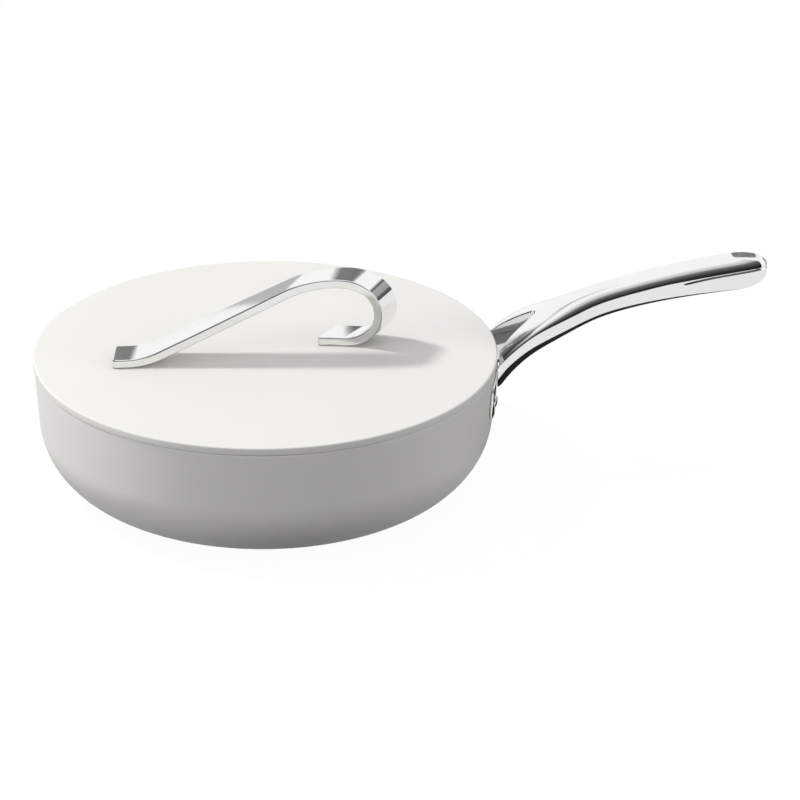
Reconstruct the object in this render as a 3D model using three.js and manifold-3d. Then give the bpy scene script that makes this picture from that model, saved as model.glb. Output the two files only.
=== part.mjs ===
// Deep frying pan with a flat lid: pressed pan, cast forked handle, curled strap handle on the lid.
// Millimetres, +Z up, origin on the pan's axis at the base, +X along the long handle.
import * as THREE from "three";
import { mergeVertices } from "three/addons/utils/BufferGeometryUtils.js";
import Module from "manifold-3d";

const wasm = await Module();
wasm.setup();

// Pan shell
const RIM_RADIUS = 139.5;
const PAN_HEIGHT = 77.2;
const WALL_FLARE = 2.4;
const CORNER_RADIUS = 43.5;
const WALL = 3;
const FLOOR = 5;
const CORNER_STEP = 5.5;
const RIM_ROUND = 1;

// Steel disc in the base
const DISC_MARGIN = 8.5;
const DISC_THICKNESS = 1.6;
const DISC_BEVEL = 0.4;
const DISC_CLEARANCE = 0.25;

// Lid
const LID_OVERHANG = 0.5;
const LID_EDGE = 4.6;
const LID_PLATE = 2.8;
const LID_ROUND = 1;
const SEAT_GAP = 0.2;
const LID_PASS = 1.2;
const LIP_DEPTH = 5;
const LIP_WALL = 2.2;
const LIP_CLEARANCE = 1;

// Strap handle of the lid
const STRAP_WIDTH = 22;
const STRAP_THICKNESS = 5.4;
const STRAP_EDGE_ROUND = 1.2;
const STRAP_CORNER_ROUND = 2.4;
const HEEL_X = -90.5;
const HEEL_Y = -14.3;
const HEEL_FLAT = 7;
const HEEL_RADIUS = 46.5;
const RAMP_ANGLE = 25.4;
const CROWN_RADIUS = 69.5;
const CROWN_FALL = 4.6;
const CURL_RADIUS = 27.1;
const CURL_FALL = 95;
const LANDING_RADIUS = 18.9;
const TOE_FLAT = 14.8;
const TOE_OFFSET = 22.3;
const HEEL_TWIST = 5.7;
const TOE_TWIST = 35.2;

// Screws and washers under the strap's feet
const SCREW_RADIUS = 2;
const SCREW_HEAD_RADIUS = 4.4;
const SCREW_HEAD_HEIGHT = 2.4;
const SCREW_GRIP = 3.4;
const SCREW_CLEARANCE = 0.25;
const SCREW_SETBACK = 8.5;
const WASHER_RADIUS = 6.6;
const WASHER_THICKNESS = 1.2;

// Long handle
const HANDLE_REACH = 166.9;
const HANDLE_RISE = 56.8;
const ROOT_DROP = 9.1;
const ROOT_ANGLE = 53;
const ROOT_PULL = 40.3;
const END_ANGLE = 4.8;
const END_PULL = 80.8;
const ROOT_HALF_WIDTH = 23.8;
const ROOT_HALF_HEIGHT = 9.7;
const NECK_SWELL = 2.3;
const NECK_CREST = 2.2;
const WAIST_DISTANCE = 61;
const WAIST_HALF_WIDTH = 10.5;
const WAIST_RISE = 9.2;
const WAIST_FALL = 9.8;
const PALM_HALF_WIDTH = 12.4;
const PALM_RISE = 10.3;
const PALM_FALL = 12.2;
const PALM_CREST = 3.7;
const PALM_ROUND = 22;
const SECTION_POWER = 2.3;
const ROOT_CUT_DROP = 17.6;
const SLOT_LENGTH = 21.4;
const SLOT_MOUTH = 28.8;
const SLOT_TIP_RADIUS = 4;
const EYE_LENGTH = 15;
const EYE_WIDTH = 8;
const EYE_SETBACK = 15.2;

// Flange of the long handle and its rivets
const FLANGE_WIDTH = 94;
const FLANGE_DROP = 6.2;
const FLANGE_HEIGHT = 22.5;
const FLANGE_THICKNESS = 1.5;
const FLANGE_TOP_ROUND = 5;
const FLANGE_FOOT_ROUND = 6;
const FLANGE_GAP = 0.2;
const RIVET_RADIUS = 1.7;
const RIVET_HEAD_RADIUS = 3.8;
const RIVET_HEAD_HEIGHT = 1.6;
const RIVET_TAIL_HEIGHT = 1.5;
const RIVET_CLEARANCE = 0.2;
const RIVET_SEAT_GAP = 0.08;
const RIVET_INSET = 6.5;

// Facets and the gap between flat faces that rest on each other
const ROUND_STEPS = 80;
const FACE_GAP = 0.05;

const rad = THREE.MathUtils.degToRad;
const V2 = (x, y) => new THREE.Vector2(x, y);
const V3 = (x, y, z) => new THREE.Vector3(x, y, z);
const ease = (t) => THREE.MathUtils.smoothstep(t, 0, 1);

// Solids

function solidOf(geometry) {
  const bare = new THREE.BufferGeometry();
  const source = geometry.index ? geometry.toNonIndexed() : geometry;
  bare.setAttribute("position", source.getAttribute("position"));
  const merged = mergeVertices(bare, 1e-4);
  const index = merged.index.array;
  const kept = [];
  for (let i = 0; i < index.length; i += 3) {
    const [a, b, c] = index.slice(i, i + 3);
    if (a !== b && b !== c && c !== a) kept.push(a, b, c);
  }
  return new wasm.Manifold(
    new wasm.Mesh({
      numProp: 3,
      vertProperties: merged.getAttribute("position").array,
      triVerts: new Uint32Array(kept),
    }),
  );
}

function geometryOf(solid) {
  const mesh = solid.getMesh();
  const geometry = new THREE.BufferGeometry();
  geometry.setAttribute("position", new THREE.BufferAttribute(mesh.vertProperties, 3));
  geometry.setIndex(new THREE.BufferAttribute(mesh.triVerts, 1));
  geometry.computeVertexNormals();
  return geometry;
}

// A profile of radius and height, turned about Z.
function turned(profile, steps = ROUND_STEPS) {
  return new THREE.LatheGeometry(profile, steps).rotateX(Math.PI / 2);
}

// A plan outline, extruded along Z from one height to another.
function upright(shape, low, high, steps = 12) {
  const settings = { depth: high - low, bevelEnabled: false, curveSegments: steps };
  return new THREE.ExtrudeGeometry(shape, settings).translate(0, 0, low);
}

function pin(radius, low, high, steps = 24) {
  return turned([V2(0, low), V2(radius, low), V2(radius, high), V2(0, high)], steps);
}

// Rings with equal counts of points, skinned and closed by a cap at each end.
function skinned(rings) {
  const count = rings[0].length;
  const points = rings.flat();
  const faces = [];
  for (let r = 0; r + 1 < rings.length; r++) {
    for (let i = 0; i < count; i++) {
      const a = r * count + i;
      const b = r * count + ((i + 1) % count);
      faces.push(a, b, b + count, a, b + count, a + count);
    }
  }
  for (const [r, turn] of [[0, 1], [rings.length - 1, 0]]) {
    const middle = points.length;
    const sum = rings[r].reduce((total, p) => total.add(p), V3(0, 0, 0));
    points.push(sum.divideScalar(count));
    for (let i = 0; i < count; i++) {
      const a = r * count + i;
      const b = r * count + ((i + 1) % count);
      faces.push(...(turn ? [middle, b, a] : [middle, a, b]));
    }
  }
  const geometry = new THREE.BufferGeometry().setFromPoints(points);
  geometry.setIndex(faces);
  return geometry;
}

function arc(centre, radius, from, to, steps) {
  const points = [];
  for (let i = 0; i <= steps; i++) {
    const angle = rad(from + ((to - from) * i) / steps);
    points.push(V2(centre.x + radius * Math.cos(angle), centre.y + radius * Math.sin(angle)));
  }
  return points;
}

// Pan: the flared wall, the round corner and the floor

const flare = rad(WALL_FLARE);

// Radius of the wall's outer face at a height, moved out by an offset square to the wall.
function wallRadius(z, offset = 0) {
  return RIM_RADIUS + offset / Math.cos(flare) - (PAN_HEIGHT - z) * Math.tan(flare);
}

// Half section from the axis along a floor, round a corner and up the wall to a height.
function cup(offset, floor, corner, top, steps) {
  const middle = floor + corner;
  const centre = V2(wallRadius(middle, offset - corner), middle);
  return [V2(0, floor), ...arc(centre, corner, -90, -WALL_FLARE, steps), V2(wallRadius(top, offset), top)];
}

const discRadius = wallRadius(CORNER_RADIUS, -CORNER_RADIUS) - DISC_MARGIN;

function panBlank() {
  const outside = cup(0, 0, CORNER_RADIUS, PAN_HEIGHT - RIM_ROUND, 10);
  const inside = cup(-WALL, FLOOR, CORNER_RADIUS - CORNER_STEP, PAN_HEIGHT - RIM_ROUND, 8);
  const recess = discRadius + DISC_CLEARANCE;
  const ceiling = DISC_THICKNESS + DISC_CLEARANCE;
  outside.splice(0, 1, V2(0, ceiling), V2(recess, ceiling), V2(recess, 0));
  const rim = [
    V2(wallRadius(PAN_HEIGHT) - RIM_ROUND, PAN_HEIGHT),
    V2(wallRadius(PAN_HEIGHT, -WALL) + RIM_ROUND, PAN_HEIGHT),
  ];
  return solidOf(turned([...outside, ...rim, ...inside.reverse()]));
}

function discGeometry() {
  return turned([
    V2(0, 0),
    V2(discRadius - DISC_BEVEL, 0),
    V2(discRadius, DISC_BEVEL),
    V2(discRadius, DISC_THICKNESS),
    V2(0, DISC_THICKNESS),
  ]);
}

// Rivets stand square to the wall, in a row along the middle of the flange,
// each at a sideways place and a drop below the rim.

const rivetSide = FLANGE_WIDTH / 2 - RIVET_INSET;
const rivetDrop = FLANGE_DROP + FLANGE_HEIGHT / 2;
const rivetPlaces = {
  handle_rivet_middle: [0, rivetDrop],
  handle_rivet_left: [rivetSide, rivetDrop],
  handle_rivet_right: [-rivetSide, rivetDrop],
};

function onWall(geometry, [side, drop]) {
  const z = PAN_HEIGHT - drop;
  const radius = wallRadius(z);
  const bearing = Math.asin(side / radius);
  return geometry
    .rotateY(Math.PI / 2 + flare)
    .rotateZ(bearing)
    .translate(radius * Math.cos(bearing), side, z);
}

function rivetGeometry(place) {
  const seat = FLANGE_GAP + FLANGE_THICKNESS + RIVET_SEAT_GAP;
  const hollow = RIVET_HEAD_RADIUS ** 2 / RIM_RADIUS;
  const tail = -WALL - RIVET_SEAT_GAP - hollow;
  const profile = [
    V2(0, tail - RIVET_TAIL_HEIGHT),
    V2(RIVET_HEAD_RADIUS * 0.8, tail - RIVET_TAIL_HEIGHT * 0.8),
    V2(RIVET_HEAD_RADIUS, tail - RIVET_TAIL_HEIGHT * 0.3),
    V2(RIVET_HEAD_RADIUS, tail),
    V2(RIVET_RADIUS, tail),
    V2(RIVET_RADIUS, seat),
    V2(RIVET_HEAD_RADIUS, seat),
  ];
  for (let i = 1; i <= 4; i++) {
    const angle = (i * Math.PI) / 8;
    profile.push(V2(RIVET_HEAD_RADIUS * Math.cos(angle), seat + RIVET_HEAD_HEIGHT * Math.sin(angle)));
  }
  profile[profile.length - 1].x = 0;
  return onWall(turned(profile, 18), place);
}

function rivetHoles() {
  const reach = WALL + FLANGE_GAP + FLANGE_THICKNESS;
  return Object.values(rivetPlaces).map((place) =>
    solidOf(onWall(pin(RIVET_RADIUS + RIVET_CLEARANCE, -reach, reach), place)),
  );
}

const drilled = (solid, holes) => holes.reduce((rest, hole) => rest.subtract(hole), solid);

// Long handle: sections along a planar curve, forked by a slot, on a flange that follows the wall

const rootZ = PAN_HEIGHT - ROOT_DROP;
const rootX = wallRadius(rootZ, FLANGE_GAP + FLANGE_THICKNESS);
const endX = RIM_RADIUS + HANDLE_REACH;

function handleSpine() {
  const root = V3(rootX, 0, rootZ);
  const end = V3(endX, 0, rootZ + HANDLE_RISE);
  const rootWay = V3(Math.cos(rad(ROOT_ANGLE)), 0, Math.sin(rad(ROOT_ANGLE)));
  const endWay = V3(Math.cos(rad(END_ANGLE)), 0, Math.sin(rad(END_ANGLE)));
  return new THREE.CubicBezierCurve3(
    root,
    root.clone().addScaledVector(rootWay, ROOT_PULL),
    end.clone().addScaledVector(endWay, -END_PULL),
    end,
  );
}

// Section of the handle at a distance out from the root and back from the end: half width,
// rise and fall from the spine, and the height of its widest line, the crest.
function handleSection(out, back) {
  const span = endX - rootX - WAIST_DISTANCE;
  const neck = ease(out / WAIST_DISTANCE);
  const palm = ease((out - WAIST_DISTANCE) / span);
  const swell = 4 * neck * (1 - neck);
  const lerp = THREE.MathUtils.lerp;
  const blend = (root, waist, end) => lerp(lerp(root, waist, neck), end, palm);
  const close = Math.sqrt(Math.max(1 - Math.max(1 - back / PALM_ROUND, 0) ** SECTION_POWER, 0));
  const flat = close ** 0.7;
  return {
    width: blend(ROOT_HALF_WIDTH, WAIST_HALF_WIDTH, PALM_HALF_WIDTH) * close,
    rise: blend(ROOT_HALF_HEIGHT, WAIST_RISE, PALM_RISE) * flat,
    fall: (blend(ROOT_HALF_HEIGHT, WAIST_FALL, PALM_FALL) + NECK_SWELL * swell) * flat,
    crest: (blend(0, 0, PALM_CREST) + NECK_CREST * swell) * flat,
  };
}

function handleRing(point, way, section, steps = 28) {
  const up = V3(-way.z, 0, way.x);
  const power = 2 / SECTION_POWER;
  const bend = (value) => Math.sign(value) * Math.abs(value) ** power;
  const ring = [];
  for (let i = 0; i < steps; i++) {
    const angle = (i * 2 * Math.PI) / steps;
    const side = section.width * bend(Math.cos(angle));
    const span = angle < Math.PI ? section.rise - section.crest : section.fall + section.crest;
    const height = section.crest + span * bend(Math.sin(angle));
    ring.push(point.clone().addScaledVector(up, height).add(V3(0, side, 0)));
  }
  return ring;
}

function handleBar() {
  const spine = handleSpine();
  const rings = [];
  const start = spine.getPoint(0);
  const rootWay = spine.getTangent(0);
  const sunk = start.clone().addScaledVector(rootWay, -2 * ROOT_HALF_HEIGHT);
  rings.push(handleRing(sunk, rootWay, handleSection(0, PALM_ROUND)));
  for (let i = 0; i <= 40; i++) {
    const t = i < 30 ? (i / 30) * 0.9 : 0.9 + 0.0985 * Math.sin(((i - 30) / 10) * (Math.PI / 2));
    const point = spine.getPoint(t);
    rings.push(handleRing(point, spine.getTangent(t), handleSection(point.x - rootX, endX - point.x)));
  }
  return solidOf(skinned(rings));
}

// Slot between the two arms of the fork, open towards the pan, with sides tangent to its round tip.
function forkSlot() {
  const run = SLOT_LENGTH - SLOT_TIP_RADIUS;
  const mouth = SLOT_MOUTH / 2;
  const lean = Math.acos(SLOT_TIP_RADIUS / Math.hypot(mouth, run)) - Math.atan2(run, mouth);
  const tip = V2(rootX + run, 0);
  const touch = V2(tip.x + SLOT_TIP_RADIUS * Math.sin(lean), SLOT_TIP_RADIUS * Math.cos(lean));
  const back = rootX - SLOT_MOUTH;
  const wide = mouth + SLOT_MOUTH * Math.tan(lean);
  const shape = new THREE.Shape();
  shape.moveTo(back, -wide);
  shape.lineTo(touch.x, -touch.y);
  shape.absarc(tip.x, tip.y, SLOT_TIP_RADIUS, lean - Math.PI / 2, Math.PI / 2 - lean, false);
  shape.lineTo(back, wide);
  return solidOf(upright(shape, 0, 2 * (rootZ + HANDLE_RISE)));
}

// Slot for hanging the pan up, with round ends.
function eyeSlot() {
  const middle = endX - EYE_SETBACK;
  const half = (EYE_LENGTH - EYE_WIDTH) / 2;
  const shape = new THREE.Shape();
  shape.absarc(middle + half, 0, EYE_WIDTH / 2, -Math.PI / 2, Math.PI / 2, false);
  shape.absarc(middle - half, 0, EYE_WIDTH / 2, Math.PI / 2, 1.5 * Math.PI, false);
  return solidOf(upright(shape, rootZ, rootZ + 2 * HANDLE_RISE, 8));
}

// The wall and corner of the pan grown by an offset, as a filled solid.
function grownPan(offset) {
  const half = cup(offset, -offset, CORNER_RADIUS + offset, 2 * PAN_HEIGHT, 10);
  return solidOf(turned([...half, V2(0, 2 * PAN_HEIGHT)]));
}

function flangeSolid() {
  const half = FLANGE_WIDTH / 2;
  const shape = new THREE.Shape();
  const foot = FLANGE_FOOT_ROUND;
  const top = FLANGE_TOP_ROUND;
  const low = PAN_HEIGHT - FLANGE_DROP - FLANGE_HEIGHT;
  const high = PAN_HEIGHT - FLANGE_DROP;
  shape.absarc(half - foot, low + foot, foot, -Math.PI / 2, 0, false);
  shape.absarc(half - top, high - top, top, 0, Math.PI / 2, false);
  shape.absarc(top - half, high - top, top, Math.PI / 2, Math.PI, false);
  shape.absarc(foot - half, low + foot, foot, Math.PI, 1.5 * Math.PI, false);
  const outline = upright(shape, 0, RIM_RADIUS + FLANGE_WIDTH, 8);
  outline.rotateX(Math.PI / 2).rotateZ(Math.PI / 2);
  return grownPan(FLANGE_GAP + FLANGE_THICKNESS).intersect(solidOf(outline));
}

function handleSolid() {
  const cut = PAN_HEIGHT - ROOT_CUT_DROP;
  const under = new THREE.BoxGeometry(2 * rootX, 4 * ROOT_HALF_WIDTH, cut).translate(rootX, 0, cut / 2);
  const fork = handleBar().subtract(forkSlot()).subtract(eyeSlot()).subtract(solidOf(under));
  const lidPath = pin(lidRadius + LID_PASS, PAN_HEIGHT - FLANGE_DROP, 3 * PAN_HEIGHT, ROUND_STEPS);
  const clear = [grownPan(FLANGE_GAP), solidOf(lidPath), ...rivetHoles()];
  return drilled(fork.add(flangeSolid()), clear);
}

// Lid: flat plate, edge that rests on the rim, lip that keeps it centred

const seatZ = PAN_HEIGHT + SEAT_GAP;
const lidTop = seatZ + LID_EDGE;
const lidUnder = lidTop - LID_PLATE;
const lidRadius = RIM_RADIUS + LID_OVERHANG;

function lidBlank() {
  const lipZ = seatZ - LIP_DEPTH;
  const lip = wallRadius(lipZ, -WALL) - LIP_CLEARANCE;
  const bevel = LIP_WALL / 3;
  const crown = V2(lidRadius - LID_ROUND, lidTop - LID_ROUND);
  return solidOf(
    turned([
      V2(0, lidUnder),
      V2(lip - LIP_WALL, lidUnder),
      V2(lip - LIP_WALL, lipZ),
      V2(lip - bevel, lipZ),
      V2(lip, lipZ + bevel),
      V2(lip, seatZ),
      V2(lidRadius - LID_ROUND / 2, seatZ),
      V2(lidRadius, seatZ + LID_ROUND / 2),
      ...arc(crown, LID_ROUND, 0, 90, 4),
      V2(0, lidTop),
    ]),
  );
}

// Strap: a side profile of arcs, moved sideways and twisted through the curl

const strapBends = (() => {
  const ramp = rad(RAMP_ANGLE);
  const crown = rad(CROWN_FALL);
  const curl = rad(CURL_FALL);
  const climb =
    LANDING_RADIUS * (1 + Math.cos(curl)) +
    CURL_RADIUS * (Math.cos(crown) - Math.cos(curl)) -
    CROWN_RADIUS * (Math.cos(crown) - Math.cos(ramp)) -
    HEEL_RADIUS * (1 - Math.cos(ramp));
  return [
    { length: HEEL_FLAT, from: 0, to: 0, steps: 3 },
    { length: HEEL_RADIUS * ramp, from: 0, to: ramp, steps: 7 },
    { length: climb / Math.sin(ramp), from: ramp, to: ramp, steps: 9 },
    { length: CROWN_RADIUS * (ramp + crown), from: ramp, to: -crown, steps: 9 },
    { length: CURL_RADIUS * (curl - crown), from: -crown, to: -curl, steps: 14 },
    { length: LANDING_RADIUS * (Math.PI - curl), from: -curl, to: -Math.PI, steps: 10 },
    { length: TOE_FLAT, from: -Math.PI, to: -Math.PI, steps: 4 },
  ];
})();

const strapLength = strapBends.reduce((sum, bend) => sum + bend.length, 0);
const lengthBefore = (count) => strapBends.slice(0, count).reduce((sum, bend) => sum + bend.length, 0);

// Position, slope and directions of the strap's middle line at a distance from the heel's end.
function strapAt(distance) {
  let x = HEEL_X;
  let z = lidTop + FACE_GAP + STRAP_THICKNESS / 2;
  let slope = 0;
  let left = distance;
  for (const bend of strapBends) {
    const part = Math.min(left, bend.length);
    const turn = (bend.to - bend.from) / bend.length;
    slope = bend.from + turn * part;
    x += turn ? (Math.sin(slope) - Math.sin(bend.from)) / turn : part * Math.cos(slope);
    z += turn ? (Math.cos(bend.from) - Math.cos(slope)) / turn : part * Math.sin(slope);
    left -= part;
    if (left <= 0) break;
  }
  const swing = ease((distance - lengthBefore(4)) / (strapLength - lengthBefore(4)));
  const twist = ease((distance - lengthBefore(2)) / (strapLength - lengthBefore(2)));
  const yaw = rad(THREE.MathUtils.lerp(HEEL_TWIST, TOE_TWIST, twist));
  const across = V3(Math.sin(yaw), Math.cos(yaw), 0);
  const up = V3(-Math.sin(slope), 0, Math.cos(slope));
  up.addScaledVector(across, -up.dot(across)).normalize();
  return { point: V3(x, HEEL_Y + TOE_OFFSET * swing, z), across, up };
}

// Rounded rectangle, drawn in near the ends so that the feet have round corners.
function strapRing(distance) {
  const { point, across, up } = strapAt(distance);
  const near = Math.min(distance, strapLength - distance);
  const drawIn = (round) => {
    const t = Math.max(1 - near / round, 0);
    return round * (1 - Math.sqrt(1 - t * t));
  };
  const side = STRAP_WIDTH / 2 - STRAP_EDGE_ROUND - drawIn(STRAP_CORNER_ROUND) * 0.9;
  const rise = STRAP_THICKNESS / 2 - STRAP_EDGE_ROUND;
  const ring = [];
  const corners = [[1, 1], [-1, 1], [-1, -1], [1, -1]];
  corners.forEach(([h, v], quarter) => {
    for (let i = 0; i <= 3; i++) {
      const angle = ((quarter + i / 3) * Math.PI) / 2;
      const out = h * side + STRAP_EDGE_ROUND * Math.cos(angle);
      const over = v * rise + STRAP_EDGE_ROUND * Math.sin(angle);
      ring.push(point.clone().addScaledVector(across, out).addScaledVector(up, over));
    }
  });
  return ring;
}

function strapBlank() {
  const stops = [0.1, 0.4, 0.7, 1].map((share) => share * STRAP_CORNER_ROUND);
  const distances = [0, ...stops];
  let start = 0;
  for (const bend of strapBends) {
    for (let i = 1; i <= bend.steps; i++) {
      const distance = start + (bend.length * i) / bend.steps;
      const inside = distance > STRAP_CORNER_ROUND + 0.5;
      if (inside && distance < strapLength - STRAP_CORNER_ROUND - 0.5) distances.push(distance);
    }
    start += bend.length;
  }
  distances.push(...stops.reverse().map((stop) => strapLength - stop), strapLength);
  return solidOf(skinned(distances.map(strapRing)));
}

// Screws come up from below, each through a washer and the plate into a foot of the strap.

const footPlaces = {
  heel: strapAt(SCREW_SETBACK).point,
  toe: strapAt(strapLength - SCREW_SETBACK).point,
};

const washerTop = lidUnder - FACE_GAP;
const headTop = washerTop - WASHER_THICKNESS - FACE_GAP;
const screwTip = lidTop + FACE_GAP + SCREW_GRIP;

function screwGeometry(place) {
  const dome = SCREW_HEAD_HEIGHT * 0.4;
  return turned(
    [
      V2(0, headTop - SCREW_HEAD_HEIGHT),
      V2(SCREW_HEAD_RADIUS * 0.6, headTop - SCREW_HEAD_HEIGHT * 0.92),
      V2(SCREW_HEAD_RADIUS, headTop - SCREW_HEAD_HEIGHT + dome),
      V2(SCREW_HEAD_RADIUS, headTop),
      V2(SCREW_RADIUS, headTop),
      V2(SCREW_RADIUS, screwTip),
      V2(0, screwTip),
    ],
    24,
  ).translate(place.x, place.y, 0);
}

function washerGeometry(place) {
  const hole = SCREW_RADIUS + SCREW_CLEARANCE;
  const low = washerTop - WASHER_THICKNESS;
  const profile = [
    V2(hole, low),
    V2(WASHER_RADIUS, low),
    V2(WASHER_RADIUS, washerTop),
    V2(hole, washerTop),
    V2(hole, low),
  ];
  return turned(profile, 24).translate(place.x, place.y, 0);
}

function screwHoles() {
  const top = screwTip + SCREW_CLEARANCE;
  return Object.values(footPlaces).map((place) =>
    solidOf(pin(SCREW_RADIUS + SCREW_CLEARANCE, headTop, top).translate(place.x, place.y, 0)),
  );
}

// Assembly

const finish = (color, roughness, metalness) =>
  new THREE.MeshStandardMaterial({ color, roughness, metalness });
const enamel = finish(0xe6e4dc, 0.5, 0);
const polished = finish(0xd8d8d8, 0.12, 1);
const steel = finish(0xbcbcba, 0.35, 1);
const seal = finish(0x8f8f8b, 0.7, 0);

const pan = new THREE.Group();
pan.name = "frying_pan_with_lid";

function place(name, geometry, material) {
  const mesh = new THREE.Mesh(geometry, material);
  mesh.name = name;
  pan.add(mesh);
}

place("pan_body", geometryOf(drilled(panBlank(), rivetHoles())), enamel);
place("induction_plate", discGeometry(), steel);
place("long_handle", geometryOf(handleSolid()), polished);
for (const [name, spot] of Object.entries(rivetPlaces)) place(name, rivetGeometry(spot), polished);
place("lid_plate", geometryOf(drilled(lidBlank(), screwHoles())), enamel);
place("lid_handle", geometryOf(drilled(strapBlank(), screwHoles())), polished);
for (const [foot, spot] of Object.entries(footPlaces)) {
  place(`lid_screw_${foot}`, screwGeometry(spot), steel);
  place(`lid_washer_${foot}`, washerGeometry(spot), seal);
}

export default pan;
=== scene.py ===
"""Looks of the deep frying pan with its flat lid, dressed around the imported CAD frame."""

import math

import bmesh
import bpy
from mathutils import Matrix, Vector
from mathutils.geometry import interpolate_bezier


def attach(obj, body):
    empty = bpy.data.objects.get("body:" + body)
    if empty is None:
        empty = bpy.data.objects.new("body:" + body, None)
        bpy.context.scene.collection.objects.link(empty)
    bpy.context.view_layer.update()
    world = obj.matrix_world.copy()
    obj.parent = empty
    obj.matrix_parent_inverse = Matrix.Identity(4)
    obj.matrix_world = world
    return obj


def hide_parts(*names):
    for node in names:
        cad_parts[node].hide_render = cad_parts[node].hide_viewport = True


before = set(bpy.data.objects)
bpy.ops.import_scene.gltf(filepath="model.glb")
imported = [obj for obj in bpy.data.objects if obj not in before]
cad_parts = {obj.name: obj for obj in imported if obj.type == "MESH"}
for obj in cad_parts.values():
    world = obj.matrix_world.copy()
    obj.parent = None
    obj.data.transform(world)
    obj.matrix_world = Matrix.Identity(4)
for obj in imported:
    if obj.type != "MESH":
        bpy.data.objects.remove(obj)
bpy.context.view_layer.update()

MM = 0.001
NEAR = 1e-6
ALIGNED = 0.99

# Pan, disc and lid, in millimetres
RIM_RADIUS = 139.5
PAN_HEIGHT = 77.2
FLARE = math.radians(2.4)
CORNER_RADIUS = 43.5
WALL = 3
FLOOR = 5
INNER_CORNER = 38
RIM_ROUND = 1
RIM_STEPS = 6
CORNER_STEPS = 30
EDGE_MARGIN = 1.5
DISC_RADIUS = 86.05
DISC_THICKNESS = 1.6
DISC_EDGE = ((0.5, 0), (0.12, 0.15), (0, 0.5))
DIMPLE_RADIUS = 6
DIMPLE_DEPTH = 0.12
GROOVE_COUNT = 7
GROOVE_PITCH = 10
GROOVE_WIDTH = 1
GROOVE_SLOPE = 0.4
GROOVE_DEPTH = 0.22
RECESS_CLEARANCE = 0.25
RECESS_CHAMFER = 0.3
LID_RADIUS = 140
LID_SEAT = 77.4
LID_TOP = 82
LID_UNDER = 79.2
LID_ROUND = 1
LIP_BOTTOM = 72.4
LIP_WALL = 2.2
LIP_CLEARANCE = 1
LIP_FILLET = 1.2
LIP_MARGIN = 0.6
SEAT_ROUND = 0.5

# Strap of the lid
STRAP_WIDTH = 22
STRAP_THICKNESS = 5.36
STRAP_EDGE = 0.8
STRAP_CORNER = 2.4
CORNER_SEGMENTS = 20
HEEL = (-91.8, -14.3)
HEEL_FLAT = 8.3
HEEL_RADIUS = 46.5
RAMP_ANGLE = math.radians(25.4)
CROWN_RADIUS = 69.5
CROWN_FALL = math.radians(4.6)
CURL_RADIUS = 27.1
CURL_FALL = math.radians(95)
LANDING_RADIUS = 18.9
TOE_FLAT = 16.1
TOE_OFFSET = 22.3
HEEL_TWIST = math.radians(5.7)
TOE_TWIST = math.radians(35.2)
FACE_GAP = 0.05

# Screws and washers under the lid: heights, then radii and roundings
SCREW_SETBACK = 9.8
SCREW_FACE = 75.5
SCREW_SEAT = 77.9
SCREW_TIP = 85.4
SCREW_HEAD = 4.4
SCREW_SHANK = 2.0
SCREW_ROUND = 1.0
SCREW_CHAMFER = 0.4
SCREW_BREAK = 0.1
SOCKET_RADIUS = 1.75
SOCKET_CUTTER = 2.4
WASHER_MIDDLE = 78.55
WASHER_HALF = 0.6
WASHER_BORE = 2.3
WASHER_RIM = 6.0
WASHER_CHAMFER = 0.15

# Long handle, its flange and the rivets
HANDLE_ROOT = (140.82, 68.1)
HANDLE_END = (306.4, 124.9)
ROOT_ANGLE = math.radians(53)
ROOT_PULL = 40.3
END_ANGLE = math.radians(4.8)
END_PULL = 80.8
SPINE_STEPS = 600
ROOT_HALF_WIDTH = 23.8
ROOT_HALF_HEIGHT = 9.7
NECK_SWELL = 2.3
ROOT_CREST = 4.5
CREST_HOLD = 12
CREST_FADE = 34
WAIST_DISTANCE = 61
WAIST_HALF_WIDTH = 10.5
WAIST_RISE = 9.2
WAIST_FALL = 9.8
PALM_HALF_WIDTH = 9.9
PALM_RISE = 11.2
PALM_FALL = 13.0
PALM_CREST = 2.1
PALM_ROUND = 22
END_FLATNESS = 0.7
SECTION_POWER = 2.3
PALM_POWER = 1.9
POWER_FADE = 70
SLOT_TOUCH = (19.36, 3.48)
SLOT_LEAN = math.radians(29.41)
ROOT_CUT = 59.6
LID_PASS = (141.2, 71)
FLANGE_GAP = 0.2
FLANGE_THICKNESS = 1.5
FLANGE_WIDTH = 94
FLANGE_HEIGHT = 22.5
FLANGE_TOP = 71
FLANGE_TOP_ROUND = 5
FLANGE_FOOT_ROUND = 6
FLANGE_EDGE = 0.5
FLANGE_STRIPS = 44
FLANGE_SINK = 0.8
WALL_CUT = (20, 120)
LID_PATH_TOP = 140
RIVET_RADIUS = 1.7
RIVET_HEAD = 3.8
RIVET_HEAD_HEIGHT = 1.6
RIVET_HEAD_BAND = 0.35
RIVET_HEAD_BREAK = (0.15, 0.05)
RIVET_TAIL_HEIGHT = 1.5
RIVET_TAIL_BAND = 0.3
RIVET_TAIL_BREAK = (0.3, 0.05)
RIVET_TAIL_INSET = 0.2
RIVET_SEAT_GAP = 0.08
RIVET_HEIGHT = FLANGE_TOP - FLANGE_HEIGHT / 2
RIVET_SIDES = {"handle_rivet_middle": 0, "handle_rivet_left": 40.5, "handle_rivet_right": -40.5}


def ease(t):
    """Smooth step from 0 to 1."""
    t = min(max(t, 0), 1)
    return t * t * (3 - 2 * t)


def mix(a, b, t):
    return a + (b - a) * t


def wall_radius(z, offset=0.0):
    """Radius of the pan's outer wall at a height, moved out square to the wall."""
    return RIM_RADIUS + offset / math.cos(FLARE) - (PAN_HEIGHT - z) * math.tan(FLARE)


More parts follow.
